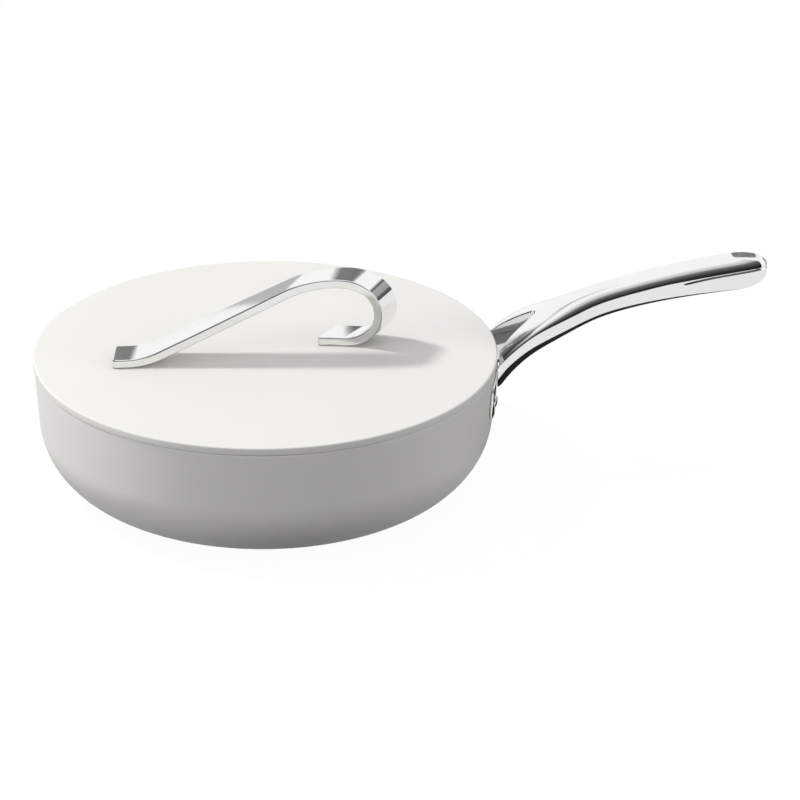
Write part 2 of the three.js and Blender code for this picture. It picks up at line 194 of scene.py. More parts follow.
def arc(centre, radius, start, end, steps):
    """Points of an arc from one angle to another, in degrees."""
    angles = [math.radians(mix(start, end, i / steps)) for i in range(steps + 1)]
    return [(centre[0] + radius * math.cos(a), centre[1] + radius * math.sin(a)) for a in angles]


# Modelling by hand: every piece starts from a primitive and is shaped in edit mode


def choose(piece):
    bpy.ops.object.select_all(action="DESELECT")
    piece.select_set(True)
    bpy.context.view_layer.objects.active = piece


def begin(name, add, **settings):
    """Adds a primitive at the origin, names it and opens it with everything selected."""
    bpy.ops.object.select_all(action="DESELECT")
    add(**settings)
    piece = bpy.context.object
    piece.name = name
    piece.data.name = name
    bpy.ops.object.mode_set(mode="EDIT")
    bpy.ops.mesh.select_mode(type="VERT")
    bpy.ops.mesh.select_all(action="SELECT")
    return piece


def reopen(piece):
    """Opens a finished piece again with everything selected."""
    choose(piece)
    bpy.ops.object.mode_set(mode="EDIT")
    bpy.ops.mesh.select_all(action="SELECT")


def close():
    bpy.ops.object.mode_set(mode="OBJECT")


def pick(piece, kind, test):
    """Selects the vertices, edges or faces that pass a test, and nothing else."""
    bpy.ops.mesh.select_mode(type=kind)
    bpy.ops.mesh.select_all(action="DESELECT")
    mesh = bmesh.from_edit_mesh(piece.data)
    for part in {"VERT": mesh.verts, "EDGE": mesh.edges, "FACE": mesh.faces}[kind]:
        if test(part):
            part.select_set(True)
    mesh.select_flush_mode()
    bmesh.update_edit_mesh(piece.data)


def extrude(step):
    bpy.ops.mesh.extrude_region_move(TRANSFORM_OT_translate={"value": step})


def shift(step):
    bpy.ops.transform.translate(value=step)


def turn(rotation, centre):
    """Turns the selection by a rotation matrix about a point, one axis after the other."""
    for axis, angle in zip("XYZ", rotation.to_euler("XYZ")):
        if abs(angle) > 1e-9:
            bpy.ops.transform.rotate(value=-angle, orient_axis=axis, center_override=centre)


def grow(factors, centre):
    bpy.ops.transform.resize(value=factors, center_override=centre)


def tidy(piece):
    """Merges doubles and points all faces outwards."""
    bpy.ops.mesh.select_all(action="SELECT")
    bpy.ops.mesh.remove_doubles(threshold=NEAR)
    bpy.ops.mesh.normals_make_consistent(inside=False)
    if bmesh.from_edit_mesh(piece.data).calc_volume(signed=True) < 0:
        bpy.ops.mesh.flip_normals()


def modify(piece, kind, **settings):
    """Adds a modifier and applies it."""
    choose(piece)
    modifier = piece.modifiers.new(kind.lower(), kind)
    for name, value in settings.items():
        setattr(modifier, name, value)
    bpy.ops.object.modifier_apply(modifier=modifier.name)


def cut(piece, cutter, operation="DIFFERENCE"):
    modify(piece, "BOOLEAN", object=cutter, operation=operation, solver="EXACT")
    bpy.data.objects.remove(cutter)


def smooth(piece, angle=35):
    choose(piece)
    bpy.ops.object.shade_smooth_by_angle(angle=math.radians(angle))


def place(piece, matrix):
    """Moves a finished piece and puts its place into its mesh."""
    choose(piece)
    piece.matrix_world = matrix
    bpy.ops.object.transform_apply(location=True, rotation=True, scale=True)


def turned(name, profile, steps=192):
    """A profile of radius and height, drawn by extruding one point and spun about Z."""
    points = [Vector((r, 0, z)) * MM for r, z in profile]
    piece = begin(name, bpy.ops.mesh.primitive_plane_add, size=MM)
    bpy.ops.mesh.merge(type="CENTER")
    shift(points[0])
    for last, point in zip(points, points[1:]):
        extrude(point - last)
    bpy.ops.mesh.select_all(action="SELECT")
    bpy.ops.mesh.spin(steps=steps, angle=2 * math.pi, center=(0, 0, 0), axis=(0, 0, 1))
    tidy(piece)
    close()
    return piece


# Pan, disc and lid


def pan_shell():
    """Deep pan as one shell, with the recess for the disc in its base."""
    flare = math.degrees(FLARE)
    ceiling = DISC_THICKNESS + RECESS_CLEARANCE
    recess = DISC_RADIUS + RECESS_CLEARANCE
    corner = (wall_radius(CORNER_RADIUS, -CORNER_RADIUS), CORNER_RADIUS)
    middle = FLOOR + INNER_CORNER
    hollow = (wall_radius(middle, -WALL - INNER_CORNER), middle)
    rim = PAN_HEIGHT - RIM_ROUND
    under_rim = rim - EDGE_MARGIN
    outer_rim = (wall_radius(rim, -RIM_ROUND), rim)
    inner_rim = (wall_radius(rim, RIM_ROUND - WALL), rim)
    profile = [
        (0, ceiling),
        (recess, ceiling),
        (recess, RECESS_CHAMFER),
        (recess + RECESS_CHAMFER, 0),
        (corner[0] - EDGE_MARGIN, 0),
        *arc(corner, CORNER_RADIUS, -90, -flare, CORNER_STEPS),
        (wall_radius(under_rim), under_rim),
        *arc(outer_rim, RIM_ROUND, -flare, 90, RIM_STEPS),
        *arc(inner_rim, RIM_ROUND, 90, 180 - flare, RIM_STEPS),
        (wall_radius(under_rim, -WALL), under_rim),
        *arc(hollow, INNER_CORNER, -flare, -90, CORNER_STEPS),
        (hollow[0] - EDGE_MARGIN, FLOOR),
        (hollow[0] / 2, FLOOR),
        (0, FLOOR),
    ]
    return turned("pan_shell", profile)


def base_disc():
    """Steel disc with a dimple and shallow turned grooves in its face."""
    profile = [(0, DIMPLE_DEPTH), (DIMPLE_RADIUS, DIMPLE_DEPTH), (DIMPLE_RADIUS + GROOVE_SLOPE, 0)]
    for groove in range(1, GROOVE_COUNT + 1):
        start = DIMPLE_RADIUS + GROOVE_PITCH * groove
        bottom = start + GROOVE_SLOPE
        end = bottom + GROOVE_WIDTH
        profile += [(start, 0), (bottom, GROOVE_DEPTH), (end, GROOVE_DEPTH), (end + GROOVE_SLOPE, 0)]
    profile += [(DISC_RADIUS - inset, height) for inset, height in DISC_EDGE]
    profile += [(DISC_RADIUS, DISC_THICKNESS), (0, DISC_THICKNESS)]
    return turned("base_disc", profile)


def lid_cover():
    """Flat lid with a rounded rim, a seat for the pan's rim and a lip that reaches into the pan."""
    lip = wall_radius(LIP_BOTTOM, -WALL) - LIP_CLEARANCE
    lip_inside = lip - LIP_WALL
    lip_foot = LIP_BOTTOM + LIP_WALL / 2
    crown = (LID_RADIUS - LID_ROUND, LID_TOP - LID_ROUND)
    profile = [
        (0, LID_UNDER),
        (lip_inside - 2 * EDGE_MARGIN, LID_UNDER),
        *arc((lip_inside - LIP_FILLET, LID_UNDER - LIP_FILLET), LIP_FILLET, 90, 0, 5),
        (lip_inside, lip_foot + LIP_MARGIN),
        *arc((lip - LIP_WALL / 2, lip_foot), LIP_WALL / 2, 180, 360, 10),
        (lip, lip_foot + LIP_MARGIN),
        (lip, LID_SEAT),
        (lip + SEAT_ROUND, LID_SEAT),
        (LID_RADIUS - 2 * SEAT_ROUND, LID_SEAT),
        *arc((LID_RADIUS - SEAT_ROUND, LID_SEAT + SEAT_ROUND), SEAT_ROUND, -90, 0, 4),
        *arc(crown, LID_ROUND, 0, 90, 8),
        (LID_RADIUS - 2 * LID_ROUND, LID_TOP),
        (LID_RADIUS / 2, LID_TOP),
        (0, LID_TOP),
    ]
    return turned("lid_cover", profile, steps=256)


# Strap of the lid: a flat bar drawn out station by station along its curl


def strap_bends():
    """Length, slope at the start and at the end, and steps of each stretch from the heel to the toe."""
    climb = (
        LANDING_RADIUS * (1 + math.cos(CURL_FALL))
        + CURL_RADIUS * (math.cos(CROWN_FALL) - math.cos(CURL_FALL))
        - CROWN_RADIUS * (math.cos(CROWN_FALL) - math.cos(RAMP_ANGLE))
        - HEEL_RADIUS * (1 - math.cos(RAMP_ANGLE))
    )
    return [
        (HEEL_FLAT, 0, 0, 2),
        (HEEL_RADIUS * RAMP_ANGLE, 0, RAMP_ANGLE, 14),
        (climb / math.sin(RAMP_ANGLE), RAMP_ANGLE, RAMP_ANGLE, 14),
        (CROWN_RADIUS * (RAMP_ANGLE + CROWN_FALL), RAMP_ANGLE, -CROWN_FALL, 20),
        (CURL_RADIUS * (CURL_FALL - CROWN_FALL), -CROWN_FALL, -CURL_FALL, 30),
        (LANDING_RADIUS * (math.pi - CURL_FALL), -CURL_FALL, -math.pi, 26),
        (TOE_FLAT, -math.pi, -math.pi, 5),
    ]


BENDS = strap_bends()
STRAP_LENGTH = sum(bend[0] for bend in BENDS)


def strap_at(distance):
    """Middle point and section axes (across, up, along) of the strap at a distance from its heel."""
    x, z, slope, left = HEEL[0], LID_TOP + FACE_GAP + STRAP_THICKNESS / 2, 0.0, distance
    for length, start, end, _ in BENDS:
        part = min(left, length)
        rate = (end - start) / length
        slope = start + rate * part
        x += (math.sin(slope) - math.sin(start)) / rate if rate else part * math.cos(slope)
        z += (math.cos(start) - math.cos(slope)) / rate if rate else part * math.sin(slope)
        left -= part
        if left <= 0:
            break
    before_ramp = BENDS[0][0] + BENDS[1][0]
    before_curl = before_ramp + BENDS[2][0] + BENDS[3][0]
    swing = ease((distance - before_curl) / (STRAP_LENGTH - before_curl))
    twist = ease((distance - before_ramp) / (STRAP_LENGTH - before_ramp))
    yaw = mix(HEEL_TWIST, TOE_TWIST, twist)
    across = Vector((math.sin(yaw), math.cos(yaw), 0))
    up = Vector((-math.sin(slope), 0, math.cos(slope)))
    up = (up - across * up.dot(across)).normalized()
    axes = Matrix((across, up, across.cross(up))).transposed()
    return Vector((x, HEEL[1] + TOE_OFFSET * swing, z)) * MM, axes


def strap_stations():
    """Distances from the heel at which the strap is drawn."""
    stations = [0.0]
    for length, _, _, steps in BENDS:
        start = stations[-1]
        stations += [start + length * (i + 1) / steps for i in range(steps)]
    return stations


def lid_strap():
    """Flat bar drawn out along its curl, with the corners of its feet rounded and then all its edges."""
    stations = [strap_at(distance) for distance in strap_stations()]
    point, axes = stations[0]
    piece = begin("lid_strap", bpy.ops.mesh.primitive_plane_add, size=1)
    grow((STRAP_WIDTH * MM, STRAP_THICKNESS * MM, 1), (0, 0, 0))
    turn(axes, (0, 0, 0))
    shift(point)
    for (last, old_axes), (point, axes) in zip(stations, stations[1:]):
        extrude(point - last)
        turn(axes @ old_axes.inverted(), point)
    tidy(piece)
    ends = [stations[0], stations[-1]]

    def foot_corner(edge):
        a, b = (v.co for v in edge.verts)
        for point, axes in ends:
            along = axes.col[2]
            at_end = all(abs((tip - point).dot(along)) < 10 * NEAR for tip in (a, b))
            if at_end and abs((a - b).normalized().dot(axes.col[1])) > ALIGNED:
                return True
        return False

    pick(piece, "EDGE", foot_corner)
    bpy.ops.mesh.bevel(offset=STRAP_CORNER * MM, segments=CORNER_SEGMENTS, affect="EDGES")
    close()
    modify(
        piece,
        "BEVEL",
        width=STRAP_EDGE * MM,
        segments=3,
        limit_method="ANGLE",
        angle_limit=math.radians(50),
        use_clamp_overlap=False,
    )
    smooth(piece, 40)
    modify(piece, "WEIGHTED_NORMAL", keep_sharp=True, weight=80)
    return piece


# Long handle: a ring drawn out along the spine, opened into a fork, with a slot at its end


def handle_spine():
    """Points of the handle's middle line, a curve from its root at the rim to its end."""
    root = Vector((HANDLE_ROOT[0], 0, HANDLE_ROOT[1]))
    end = Vector((HANDLE_END[0], 0, HANDLE_END[1]))
    root_way = Vector((math.cos(ROOT_ANGLE), 0, math.sin(ROOT_ANGLE)))
    end_way = Vector((math.cos(END_ANGLE), 0, math.sin(END_ANGLE)))
    pulls = root + root_way * ROOT_PULL, end - end_way * END_PULL
    return interpolate_bezier(root, *pulls, end, SPINE_STEPS)


SPINE = handle_spine()


def spine_at(out):
    """Height and slope of the handle's middle line at a distance out from its root."""
    x = HANDLE_ROOT[0] + out
    if out <= 0:
        return HANDLE_ROOT[1] + out * math.tan(ROOT_ANGLE), ROOT_ANGLE
    for a, b in zip(SPINE, SPINE[1:]):
        if b.x >= x:
            break
    return mix(a.z, b.z, (x - a.x) / (b.x - a.x)), math.atan2(b.z - a.z, b.x - a.x)


def handle_section(out):
    """Half width, rise and fall from the middle line, and height of the widest line, square to it."""
    reach = HANDLE_END[0] - HANDLE_ROOT[0]
    neck = ease(out / WAIST_DISTANCE)
    palm = ease((out - WAIST_DISTANCE) / (reach - WAIST_DISTANCE))
    swell = 4 * neck * (1 - neck)
    shut = max(1 - (reach - out) / PALM_ROUND, 0)
    keep = math.sqrt(max(1 - shut**SECTION_POWER, 0))
    flat = keep**END_FLATNESS
    width = mix(mix(ROOT_HALF_WIDTH, WAIST_HALF_WIDTH, neck), PALM_HALF_WIDTH, palm)
    rise = mix(mix(ROOT_HALF_HEIGHT, WAIST_RISE, neck), PALM_RISE, palm)
    fall = mix(mix(ROOT_HALF_HEIGHT, WAIST_FALL, neck), PALM_FALL, palm) + NECK_SWELL * swell
    crest = PALM_CREST * palm + ROOT_CREST * (1 - ease((out - CREST_HOLD) / CREST_FADE))
    return width * keep, rise * flat, fall * flat, crest * flat


# The cage of the handle, which the subdivision rounds and shrinks a little
RING_SIDES = 20
CAGE_GROWTH = 1.028
LEAN_FADE = 34
FORK_TIP = 21.6
FORK_RIM = 1.3
CROTCH_HALF = 2.7
EYE_HALF = 4.1
EYE_RIM = 0.7
INNER_SHARE = 0.457
INNER_FADE = 22
SHOULDER_SHARE = 0.772
SIDE_SHARE = 0.966
FLANK_SHARE = 0.93
BROW_SHARES = (0.985, 0.99)
SEAM_START = 90
SEAM_FADE = 40
SEAM_DEPTH = 0.7
SEAM_OVER = 0.35
SEAM_UNDER = 1.0
SEAM_CREASE = 0.8
ROOT_STRAIGHT = -9
FORK_STATIONS = [-26, -17, ROOT_STRAIGHT, -2, 4, 9, 14, 18.5, FORK_TIP]
PALM_STATIONS = [27, 34, 44, 56, 70, 86, 104, 120, 133]
EYE_STATIONS = [144.4, 151.4, 158.4]
END_STATIONS = [161.4, 163.6, 164.85, 165.25]
TOP, BOTTOM = (4, 5, 6), (14, 15, 16)
SEAM = (0, 1, 19, 9, 10, 11)


def inner_half(out, width):
    """Half width between the inner columns of a ring: the fork's slot, the eye, or near half the width."""
    if out <= SLOT_TOUCH[0]:
        return SLOT_TOUCH[1] + (SLOT_TOUCH[0] - max(out, ROOT_STRAIGHT)) * math.tan(SLOT_LEAN)
    if out <= FORK_TIP:
        return CROTCH_HALF
    if out in EYE_STATIONS:
        return EYE_HALF
    return mix(CROTCH_HALF, width * INNER_SHARE, ease((out - FORK_TIP) / INNER_FADE))


def handle_ring(out):
    """Places of a ring's columns, sideways and up, from its right side over the top and round."""
    width, rise, fall, crest = handle_section(out)
    inner = inner_half(out, width)
    seam = ease((out - SEAM_START) / SEAM_FADE)
    over_power = mix(SECTION_POWER, PALM_POWER, ease((out - WAIST_DISTANCE) / POWER_FADE))
    shoulder = max(width * SHOULDER_SHARE, mix(inner, width * SIDE_SHARE, 0.5))

    def half(reach, lip_height, power):
        sides = (width * mix(*BROW_SHARES, seam), width * FLANK_SHARE, shoulder, inner)
        points = [(side, reach * (1 - min(side / width, 1) ** power) ** (1 / power)) for side in sides]
        points[0] = (points[0][0], mix(points[0][1], lip_height, seam))
        return points

    over = half(rise - crest, SEAM_OVER, over_power)
    under = half(-fall - crest, -SEAM_UNDER, SECTION_POWER)
    right = [(width - SEAM_DEPTH * seam, 0), *over, (0, rise - crest)]
    left = [(-y, z) for y, z in [*over[::-1], right[0], *under]]
    return [(y, crest + z) for y, z in [*right, *left, (0, -fall - crest), *under[::-1]]]


def handle_bar():
    """Cage drawn out ring by ring, opened at the fork and the eye, creased at the seam and subdivided."""
    circle = {"vertices": RING_SIDES, "radius": MM, "fill_type": "NGON"}
    piece = begin("handle_bar", bpy.ops.mesh.primitive_circle_add, **circle)
    turn(Matrix.Rotation(math.pi / 2, 3, "Y"), (0, 0, 0))
    mesh = bmesh.from_edit_mesh(piece.data)
    column = mesh.verts.layers.int.new("column")
    mesh.verts.layers.int.new("station")
    for v in mesh.verts:
        v[column] = round(math.atan2(v.co.z, v.co.y) / (2 * math.pi) * RING_SIDES) % RING_SIDES
    bmesh.update_edit_mesh(piece.data)
    bearings = [2 * math.pi * k / RING_SIDES for k in range(RING_SIDES)]
    old = [(math.cos(bearing), math.sin(bearing)) for bearing in bearings]

    def layers():
        mesh = bmesh.from_edit_mesh(piece.data)
        return mesh.verts.layers.int["column"], mesh.verts.layers.int["station"]

    def ring(number, columns=range(RING_SIDES)):
        column, station = layers()
        pick(piece, "VERT", lambda v: v[station] == number and v[column] in columns)

    outs = FORK_STATIONS + PALM_STATIONS + EYE_STATIONS + END_STATIONS
    spot, lean = Vector((0, 0, 0)), 0.0
    for number, out in enumerate(outs):
        height, slope = spine_at(out)
        new_spot = Vector((HANDLE_ROOT[0] + out, 0, height)) * MM
        new_lean = slope * ease((out - FORK_TIP) / LEAN_FADE)
        tall = 1 / math.cos(slope - new_lean)
        new = [(y * CAGE_GROWTH, z * CAGE_GROWTH * tall) for y, z in handle_ring(out)]
        if number:
            extrude(new_spot - spot)
            mesh = bmesh.from_edit_mesh(piece.data)
            station = mesh.verts.layers.int["station"]
            for v in mesh.verts:
                if v.select:
                    v[station] = number
            bmesh.update_edit_mesh(piece.data)
        turn(Matrix.Rotation(lean, 3, "Y"), new_spot)
        if not number:
            shift(new_spot)
        for k in range(RING_SIDES):
            ring(number, (k,))
            shift((0, (new[k][0] - old[k][0]) * MM, (new[k][1] - old[k][1]) * MM))
        ring(number)
        turn(Matrix.Rotation(-new_lean, 3, "Y"), new_spot)
        spot, old, lean = new_spot, new, new_lean

    fork_end = FORK_STATIONS.index(FORK_TIP)
    eye_first = outs.index(EYE_STATIONS[0])
    eye_last = outs.index(EYE_STATIONS[-1])
    for first, last in ((0, fork_end), (eye_first, eye_last)):
        open_slot(piece, layers, first, last)
    seam_first = next(number for number, out in enumerate(outs) if out > SEAM_START)
    column, station = layers()

    def along_seam(edge):
        a, b = edge.verts
        return a[column] == b[column] and a[column] in SEAM and min(a[station], b[station]) >= seam_first

    pick(piece, "EDGE", along_seam)
    bpy.ops.transform.edge_crease(value=SEAM_CREASE)
    bpy.ops.mesh.select_all(action="SELECT")
    bpy.ops.mesh.fill_holes(sides=0)
    tidy(piece)
    close()
    modify(piece, "SUBSURF", levels=3, render_levels=3)
    for name in ("column", "station"):
        piece.data.attributes.remove(piece.data.attributes[name])
    return piece


def open_slot(piece, layers, first, last):
    """Opens the bar from top to bottom between two stations and rounds the rims."""
    column, station = layers()

    def inside(v, columns):
        return v[column] in columns and first <= v[station] <= last

    def strip(face):
        if first == 0 and all(v[station] == 0 for v in face.verts):
            return True
        return any(all(inside(v, side) for v in face.verts) for side in (TOP, BOTTOM))

    def border(edge):
        a, b = edge.verts
        for side in (TOP, BOTTOM):
            if not (inside(a, side) and inside(b, side)):
                continue
            along = a[column] == b[column] and a[column] in side[::2] and a[station] != b[station]
            across = a[station] == b[station] == last or (a[station] == b[station] == first and first > 0)
            if along or across:
                return True
        return False

    pick(piece, "FACE", strip)
    bpy.ops.mesh.delete(type="FACE")
    column, station = layers()
    pick(piece, "EDGE", border)
    bpy.ops.mesh.bridge_edge_loops()
    column, station = layers()
    pick(piece, "EDGE", border)
    rim = FORK_RIM if first == 0 else EYE_RIM
    bpy.ops.mesh.bevel(offset=rim * MM, segments=2, affect="EDGES", clamp_overlap=True)


def handle_flange():
    """Plate that hugs the wall: a flat outline, cut into strips, thickened and bent round the pan."""
    middle = FLANGE_TOP - FLANGE_HEIGHT / 2
    seat = wall_radius(middle, FLANGE_GAP)
    bend = 2 * math.asin(FLANGE_WIDTH / 2 / (seat + FLANGE_THICKNESS))
    half_width, half_height = bend / 2 * seat * MM, FLANGE_HEIGHT / 2 * MM
    piece = begin("handle_flange", bpy.ops.mesh.primitive_plane_add, size=2)
    grow((half_width, half_height, 1), (0, 0, 0))
    turn(Matrix.Rotation(math.pi / 2, 3, "X"), (0, 0, 0))
    for side, radius in ((1, FLANGE_TOP_ROUND), (-1, FLANGE_FOOT_ROUND)):
        pick(piece, "VERT", lambda v: abs(v.co.z - side * half_height) < NEAR)
        bpy.ops.mesh.bevel(offset=radius * MM, segments=8, affect="VERTICES")
    for i in range(1, FLANGE_STRIPS):
        line = mix(-half_width, half_width, i / FLANGE_STRIPS)
        bpy.ops.mesh.select_all(action="SELECT")
        bpy.ops.mesh.bisect(plane_co=(line, 0, 0), plane_no=(1, 0, 0))
    bpy.ops.mesh.select_all(action="SELECT")
    extrude((0, -FLANGE_THICKNESS * MM, 0))
    tidy(piece)
    close()
    rounding = {"width": FLANGE_EDGE * MM, "segments": 3}
    modify(piece, "BEVEL", **rounding, limit_method="ANGLE", angle_limit=math.radians(60))
    modify(piece, "SIMPLE_DEFORM", deform_method="BEND", deform_axis="Z", angle=bend)
    round_the_pan = Matrix.Rotation(math.pi / 2, 4, "Z") @ Matrix.Translation((0, -seat * MM, 0))
    lean = Matrix.Rotation(FLARE, 4, "Y")
    foot = Matrix.Translation((seat * MM, 0, 0))
    lift = Matrix.Translation((0, 0, middle * MM))
    place(piece, lift @ foot @ lean @ foot.inverted() @ round_the_pan)
    return piece


def long_handle():
    """Forked bar cut to the wall, flat below, clear of the lid, joined to its flange."""
    bar = handle_bar()
    wall = FLANGE_GAP + FLANGE_THICKNESS - FLANGE_SINK
    low, high = WALL_CUT
    pan_wall = [(0, low), (wall_radius(low, wall), low), (wall_radius(high, wall), high), (0, high)]
    cut(bar, turned("pan_wall", pan_wall))
    radius, low = LID_PASS
    lid_path = [(0, low), (radius, low), (radius, LID_PATH_TOP), (0, LID_PATH_TOP)]
    cut(bar, turned("lid_path", lid_path))
    reopen(bar)
    flat = {"plane_co": (0, 0, ROOT_CUT * MM), "plane_no": (0, 0, 1)}
    bpy.ops.mesh.bisect(**flat, use_fill=True, clear_inner=True)
    tidy(bar)
    close()
    smooth(bar, 40)
    flange = handle_flange()
    smooth(flange, 40)
    bpy.ops.object.select_all(action="DESELECT")
    flange.select_set(True)
    bar.select_set(True)
    bpy.context.view_layer.objects.active = bar
    bpy.ops.object.join()
    bar.name = "forked_handle"
    return bar


# Rivets, screws and washers


def rivet():
    """Rivet about Z, from its button inside the pan to its dome on the flange."""
    seat = FLANGE_GAP + FLANGE_THICKNESS + RIVET_SEAT_GAP
    tail = -WALL - RIVET_SEAT_GAP - RIVET_HEAD**2 / RIM_RADIUS
    dome_start, dome_rise = seat + RIVET_HEAD_BAND, RIVET_HEAD_HEIGHT - RIVET_HEAD_BAND
    button_start, button_fall = tail - RIVET_TAIL_BAND, RIVET_TAIL_HEIGHT - RIVET_TAIL_BAND
    button_radius = RIVET_HEAD - RIVET_TAIL_INSET
    angles = [math.radians(10 * i) for i in range(10)]
    profile = [
        *[(button_radius * math.cos(a), button_start - button_fall * math.sin(a)) for a in angles[::-1]],
        (RIVET_HEAD - RIVET_TAIL_BREAK[0], tail - RIVET_TAIL_BREAK[1]),
        (RIVET_RADIUS, tail),
        (RIVET_RADIUS, seat),
        (RIVET_HEAD - RIVET_HEAD_BREAK[0], seat + RIVET_HEAD_BREAK[1]),
        *[(RIVET_HEAD * math.cos(a), dome_start + dome_rise * math.sin(a)) for a in angles],
    ]
    profile[0] = (0, profile[0][1])
    profile[-1] = (0, profile[-1][1])
    return turned("rivet", profile, steps=64)


def rivet_place(side):
    """Where a rivet goes that stands sideways from the handle's middle, square to the wall."""
    z = RIVET_HEIGHT
    radius = wall_radius(z)
    bearing = math.asin(side / radius)
    outward = Matrix.Rotation(bearing, 4, "Z") @ Matrix.Rotation(math.pi / 2 + FLARE, 4, "Y")
    return Matrix.Translation(Vector((radius * math.cos(bearing), side, z)) * MM) @ outward


def screw_places():
    """Point on the lid's middle plane below each foot of the strap."""
    feet = {"heel": SCREW_SETBACK, "toe": STRAP_LENGTH - SCREW_SETBACK}
    return {foot: strap_at(distance)[0] * Vector((1, 1, 0)) for foot, distance in feet.items()}


def lid_screw():
    """Round-headed screw seen from below the lid, with a six-sided socket."""
    profile = [
        (0, SCREW_FACE),
        (SCREW_HEAD - SCREW_ROUND - SCREW_CHAMFER, SCREW_FACE),
        *arc((SCREW_HEAD - SCREW_ROUND, SCREW_FACE + SCREW_ROUND), SCREW_ROUND, -90, -10, 5),
        (SCREW_HEAD, SCREW_SEAT - SCREW_BREAK),
        (SCREW_HEAD - SCREW_BREAK, SCREW_SEAT),
        (SCREW_SHANK, SCREW_SEAT),
        (SCREW_SHANK, SCREW_TIP - SCREW_CHAMFER),
        (SCREW_SHANK - SCREW_CHAMFER, SCREW_TIP),
        (0, SCREW_TIP),
    ]
    piece = turned("lid_screw", profile, steps=64)
    hexagon = {"vertices": 6, "radius": SOCKET_RADIUS * MM, "depth": SOCKET_CUTTER * MM}
    socket = begin("socket", bpy.ops.mesh.primitive_cylinder_add, **hexagon)
    shift((0, 0, (SCREW_FACE - SCREW_BREAK) * MM))
    close()
    cut(piece, socket)
    reopen(piece)
    bpy.ops.mesh.dissolve_degenerate(threshold=NEAR)
    tidy(piece)
    close()
    return piece


def lid_washer():
    """Soft ring with a rounded rim, pressed between a screw's head and the lid."""
    low, high = WASHER_MIDDLE - WASHER_HALF, WASHER_MIDDLE + WASHER_HALF
    profile = [
        (WASHER_BORE, low + WASHER_CHAMFER),
        (WASHER_BORE + WASHER_CHAMFER, low),
        *arc((WASHER_RIM, WASHER_MIDDLE), WASHER_HALF, -90, 90, 8),
        (WASHER_BORE + WASHER_CHAMFER, high),
        (WASHER_BORE, high - WASHER_CHAMFER),
        (WASHER_BORE, low + WASHER_CHAMFER),
    ]
    return turned("lid_washer", profile, steps=64)


# Finishes: each pair of tones is the darkest and the lightest that a surface shows
COAT_TONES = (0.80, 0.79, 0.755), (0.86, 0.85, 0.815)
COAT_SHEEN = 0.3
POLISH_TONES = (0.87, 0.87, 0.865), (0.93, 0.93, 0.925)
# Painted shade: the grey that the strap's downward edges are darkened to
PAINTED_SHADE_TONE = (0.33, 0.33, 0.33, 1)
BASE_TONES = (0.52, 0.52, 0.51), (0.68, 0.68, 0.67)
RIVET_TONES = (0.66, 0.66, 0.65), (0.76, 0.76, 0.75)
RIVET_DULLNESS = 0.18
SCREW_TONES = (0.56, 0.56, 0.55), (0.68, 0.68, 0.67)
SCREW_DULLNESS = 0.28
SEAL_TONES = (0.26, 0.26, 0.25), (0.36, 0.36, 0.34)
BLACK_TO_WHITE = (0, 0, 0), (1, 1, 1)
BUFFING_STRETCH = (0.4, 3, 3)
TOOL_MARK_STRETCH = (1, 1, 6)
EYE_MARGIN = 1
EYE_SLACK = 1.05
EYE_DULLNESS = 0.4
# Where painted shade darkens the strap's downward edges: a pointiness threshold and a normal height
EDGE_POINTINESS = 0.53
EDGE_FADE_SPAN = 0.009
DOWN_START = 0.2
DOWN_SPAN = 0.4


class Wire:
    """A socket of a node tree that can be reckoned with; each sum adds its Math node."""

    def __init__(self, tree, socket=None):
        self.tree = tree
        self.socket = socket

    def add(self, kind, settings=None, values=None, out=0):
        """Adds a node: its type, its settings, then the values or links of its sockets."""
        node = self.tree.nodes.new(kind)
        for name, value in (settings or {}).items():
            if name == "stops":
                stops = node.color_ramp.elements
                while len(stops) < len(value):
                    stops.new(0.5)
                for stop, (position, colour) in zip(stops, value):
                    stop.position = position
                    stop.color = (*colour, 1)
            else:
                setattr(node, name, value)
        for name, value in (values or {}).items():
            if isinstance(value, Wire):
                self.tree.links.new(value.socket, node.inputs[name])
            else:
                node.inputs[name].default_value = value
        return Wire(self.tree, node.outputs[out] if len(node.outputs) else None)

    def math(self, operation, first, second):
        return self.add("ShaderNodeMath", {"operation": operation}, {0: first, 1: second})

    def __add__(self, other):
        return self.math("ADD", self, other)

    __radd__ = __add__

    def __mul__(self, other):
        return self.math("MULTIPLY", self, other)

    __rmul__ = __mul__

    def __sub__(self, other):
        return self.math("SUBTRACT", self, other)

    def __rsub__(self, other):
        return self.math("SUBTRACT", other, self)

    def __truediv__(self, other):
        return self.math("DIVIDE", self, other)

    def __rtruediv__(self, other):
        return self.math("DIVIDE", other, self)


def finish(name):
    """A new material: the wire to build on, its Object coordinates and its shader's sockets."""
    material = bpy.data.materials.new(name)
    material.use_nodes = True
    wire = Wire(material.node_tree)
    spot = wire.add("ShaderNodeTexCoord", out="Object")
    shader = material.node_tree.nodes["Principled BSDF"]
    return material, wire, spot, shader


def feed(wire, shader, **sockets):
    """Sets or links the shader's sockets; underscores stand for the spaces in their names."""
    for name, value in sockets.items():
        socket = shader.inputs[name.replace("_", " ")]
        if isinstance(value, Wire):
            wire.tree.links.new(value.socket, socket)
        else:
            socket.default_value = value


def noise(wire, spot, scale, detail=3.0, roughness=0.55):
    values = {"Vector": spot, "Scale": scale, "Detail": detail, "Roughness": roughness}
    return wire.add("ShaderNodeTexNoise", None, values)


def stretched(wire, spot, scale):
    return wire.add("ShaderNodeMapping", None, {"Vector": spot, "Scale": scale})


def tone(wire, value, low, high):
    """A colour between two tones."""
    stops = [(0.0, low), (1.0, high)]
    return wire.add("ShaderNodeValToRGB", {"stops": stops}, {"Fac": value})


def relief(wire, height, strength, distance):
    return wire.add("ShaderNodeBump", None, {"Height": height, "Strength": strength, "Distance": distance})


